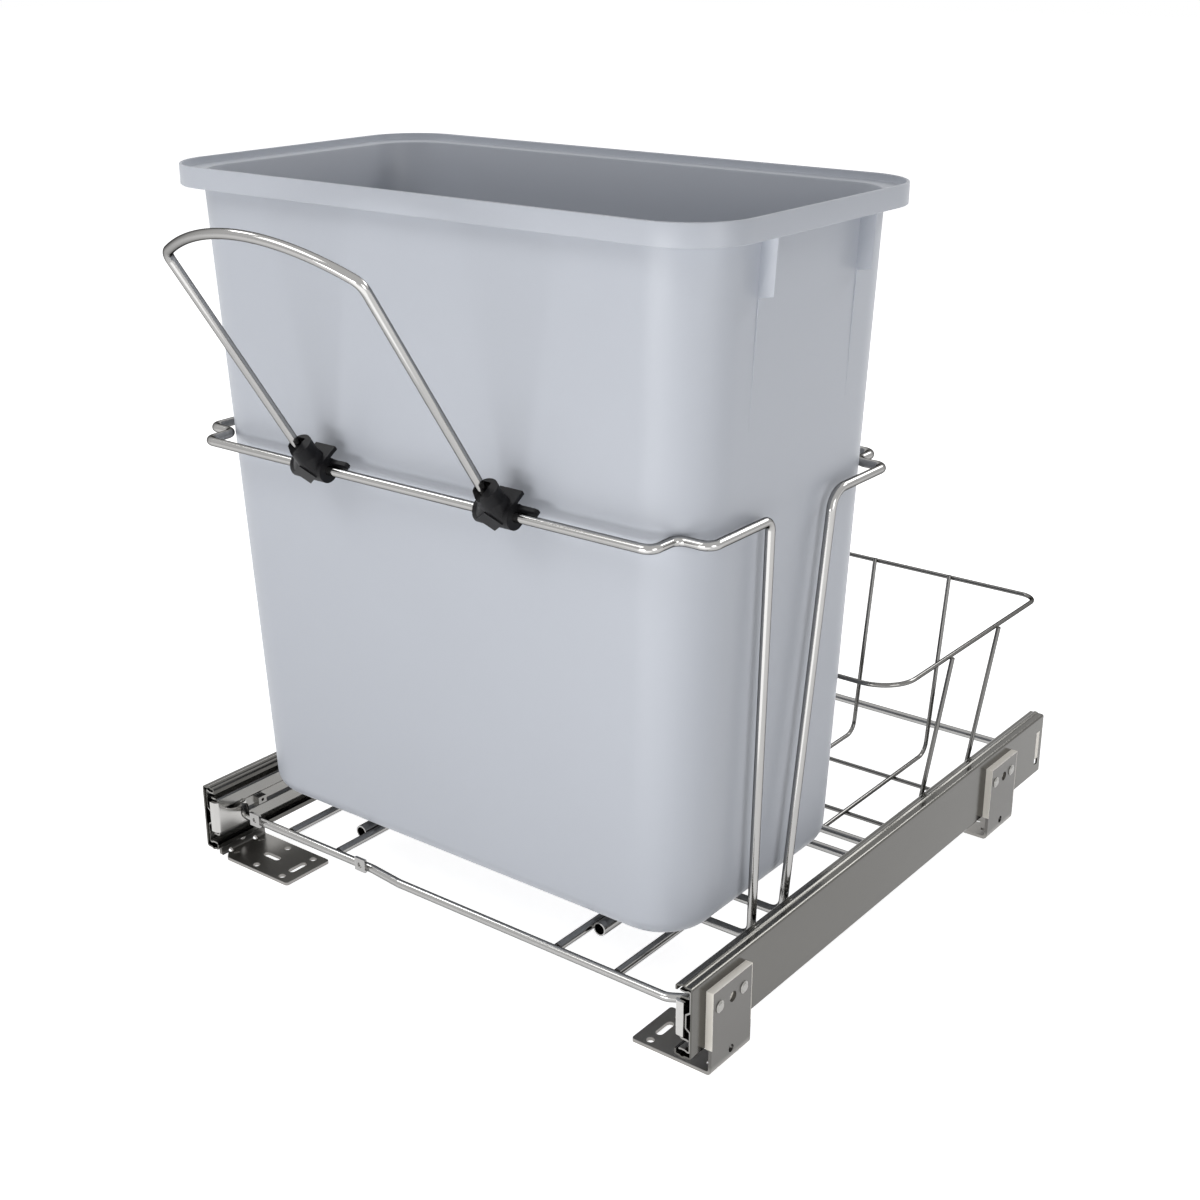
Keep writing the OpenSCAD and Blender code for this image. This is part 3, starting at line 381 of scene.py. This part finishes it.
def ring_sizes(inset, height):
    """Half length, half width, corner radius and set-back of the wall at a height."""
    foot = BASE_DROP + FLOOR_EDGE_RADIUS
    share = 1 - (height - foot) / (BIN_HEIGHT - LIP_RISE - DRAFT_END - foot)
    share = min(1.0, max(0.0, share))
    half_length = BIN_LENGTH / 2 - OVERHANG - END_DRAFT * share - inset
    half_width = BIN_WIDTH / 2 - OVERHANG - SIDE_DRAFT * share - inset
    radius = WALL_TOP_RADIUS + (WALL_FOOT_RADIUS - WALL_TOP_RADIUS) * share - inset
    return half_length, half_width, radius, FOOT_BACK * share


def to_ring(verts, old, new, z):
    """Moves the points of a rounded rectangle from one size to another."""
    for v in verts:
        x, y = v.co.x, v.co.y - old[3]
        corner = Vector((math.copysign(old[0] - old[2], x), math.copysign(old[1] - old[2], y)))
        out = (Vector((x, y)) - corner).normalized() * new[2]
        v.co.x = math.copysign(new[0] - new[2], corner.x) + out.x
        v.co.y = math.copysign(new[1] - new[2], corner.y) + out.y + new[3]
        v.co.z = z


def lower_edge(wall):
    """Rings from the base panel over the sloping floor and round the edge to the wall."""
    radius = FLOOR_EDGE_RADIUS - wall
    across = BASE_INSET - radius
    up = BASE_DROP + radius
    last = math.pi - math.acos(radius / math.hypot(across, up)) - math.atan2(up, across)
    base = ring_sizes(wall, 0)
    rings = [((base[0] - BASE_INSET, base[1] - BASE_INSET, BASE_RADIUS, FOOT_BACK), wall)]
    for step in range(FLOOR_EDGE_STEPS + 1):
        turn = last * (1 - step / FLOOR_EDGE_STEPS)
        size = ring_sizes(wall + radius * (1 - math.cos(turn)), 0)
        rings.append((size, wall + up - radius * math.sin(turn)))
    return rings


def grown(size, by):
    """A ring's size with its outline moved out by a distance."""
    return size[0] + by, size[1] + by, size[2] + by, size[3]


skirt_foot = BIN_HEIGHT - SKIRT_HEIGHT
ledge = BIN_HEIGHT - LIP_RISE
under_ledge = ledge - BIN_WALL
rim_out = (BIN_LENGTH / 2, BIN_WIDTH / 2, RIM_RADIUS, 0.0)
rim_in = grown(rim_out, -SKIRT_WALL)
wall_top = ring_sizes(0, under_ledge)
mouth = ring_sizes(BIN_WALL, ledge)
bin_rings = lower_edge(0)
bin_rings += [(ring_sizes(0, height), height) for height in WALL_RING_HEIGHTS]
bin_rings += [
    (ring_sizes(0, under_ledge - UNDER_ROUND), under_ledge - UNDER_ROUND),
    (grown(wall_top, UNDER_ROUND / 3), under_ledge - UNDER_ROUND / 3),
    (grown(wall_top, UNDER_ROUND), under_ledge),
    (grown(rim_in, -SKIRT_ROUND), under_ledge),
    (rim_in, under_ledge - SKIRT_ROUND),
    (rim_in, skirt_foot + FOOT_ROUND),
    (grown(rim_in, FOOT_ROUND), skirt_foot),
    (grown(rim_out, -FOOT_ROUND), skirt_foot),
    (rim_out, skirt_foot + FOOT_ROUND),
    (rim_out, BIN_HEIGHT - LIP_ROUND),
    (grown(rim_out, -0.3 * LIP_ROUND), BIN_HEIGHT - 0.3 * LIP_ROUND),
    (grown(rim_out, -LIP_ROUND), BIN_HEIGHT),
    (grown(rim_in, LIP_IN_ROUND), BIN_HEIGHT),
    (rim_in, BIN_HEIGHT - LIP_IN_ROUND),
    (rim_in, ledge + SKIRT_ROUND),
    (grown(rim_in, -SKIRT_ROUND / 4), ledge + SKIRT_ROUND / 4),
    (grown(rim_in, -SKIRT_ROUND), ledge),
    (grown(mouth, MOUTH_ROUND), ledge),
    (grown(mouth, FOOT_ROUND), ledge - FOOT_ROUND),
    (ring_sizes(BIN_WALL, ledge - MOUTH_ROUND), ledge - MOUTH_ROUND),
]
bin_rings += [(ring_sizes(BIN_WALL, height), height) for height in reversed(WALL_RING_HEIGHTS)]
bin_rings += reversed(lower_edge(BIN_WALL))

shell = bmesh.new()
last_size = bin_rings[0][0]
bmesh.ops.create_grid(shell, x_segments=1, y_segments=1, size=0.5)
bmesh.ops.scale(shell, vec=(2 * last_size[0], 2 * last_size[1], 1), verts=shell.verts)
bmesh.ops.bevel(shell, geom=shell.verts[:], offset=last_size[2], offset_type="OFFSET",
                segments=CORNER_STEPS, profile=0.5, affect="VERTICES", material=-1,
                clamp_overlap=False)
bmesh.ops.translate(shell, vec=(0, last_size[3], 0), verts=shell.verts)
edge_ring = [e for e in shell.edges if e.is_boundary]
for size, height in bin_rings[1:]:
    made = bmesh.ops.extrude_edge_only(shell, edges=edge_ring)["geom"]
    to_ring([g for g in made if isinstance(g, bmesh.types.BMVert)], last_size, size, height)
    edge_ring = [g for g in made if isinstance(g, bmesh.types.BMEdge) and g.is_boundary]
    last_size = size
bmesh.ops.contextual_create(shell, geom=edge_ring)

# fins under the skirt, each running on down the end wall as a low ridge
fin_foot = skirt_foot - FIN_HEIGHT
ridge_foot = fin_foot - RIDGE_LENGTH
fin_outline = [
    (ring_sizes(FIN_ROOT, under_ledge)[0], under_ledge + FIN_INSIDE),
    (rim_out[0] - FIN_INSIDE, under_ledge + FIN_INSIDE),
    (rim_out[0] - FIN_INSIDE, skirt_foot),
    (ring_sizes(0, fin_foot)[0] + OVERHANG - FIN_INSIDE, fin_foot + FIN_SLOPE),
    (ring_sizes(0, fin_foot)[0] + RIDGE_TOP, fin_foot),
    (ring_sizes(0, ridge_foot)[0] + RIDGE_END, ridge_foot),
    (ring_sizes(FIN_ROOT, ridge_foot)[0], ridge_foot),
    (ring_sizes(FIN_ROOT, fin_foot)[0], fin_foot),
]
for end in (1, -1):
    for fin_place in FIN_Y:
        back = fin_place - BIN_WIDTH / 2
        profile = [shell.verts.new((end * x, back, z)) for x, z in fin_outline]
        face = shell.faces.new(profile)
        made = bmesh.ops.extrude_face_region(shell, geom=[face])["geom"]
        far = [g for g in made if isinstance(g, bmesh.types.BMVert)]
        bmesh.ops.translate(shell, vec=(0, -FIN_WALL, 0), verts=far)
        rims = [e for e in shell.edges if e.verts[0] in far and e.verts[1] in far
                or e.verts[0] in profile and e.verts[1] in profile]
        bmesh.ops.bevel(shell, geom=rims, offset=FIN_ROUND, segments=2, profile=0.5,
                        affect="EDGES", material=-1)

bin_low, bin_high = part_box("bin")
bin_centre = (bin_low + bin_high) / 2
bmesh.ops.translate(shell, vec=(bin_centre.x, bin_centre.y, bin_low.z), verts=shell.verts)
bmesh.ops.remove_doubles(shell, verts=shell.verts, dist=JOIN_DISTANCE)
bmesh.ops.recalc_face_normals(shell, faces=shell.faces)
for face in shell.faces:
    face.smooth = True
for edge in shell.edges:
    if len(edge.link_faces) == 2 and edge.calc_face_angle() > math.radians(CREASE_ANGLE):
        edge.smooth = False
shell_mesh = bpy.data.meshes.new("bin_shell")
shell.to_mesh(shell_mesh)
shell.free()
bin_plastic = moulded_plastic(
    "bin_plastic", colour=(0.50, 0.526, 0.576), roughness=0.40, grain=420.0,
    bump=0.00004, shift=0.012)
shell_mesh.materials.append(bin_plastic)
bin_shell = bpy.data.objects.new("bin_shell", shell_mesh)
bpy.context.scene.collection.objects.link(bin_shell)
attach(bin_shell, "waste_bin")
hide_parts("bin")
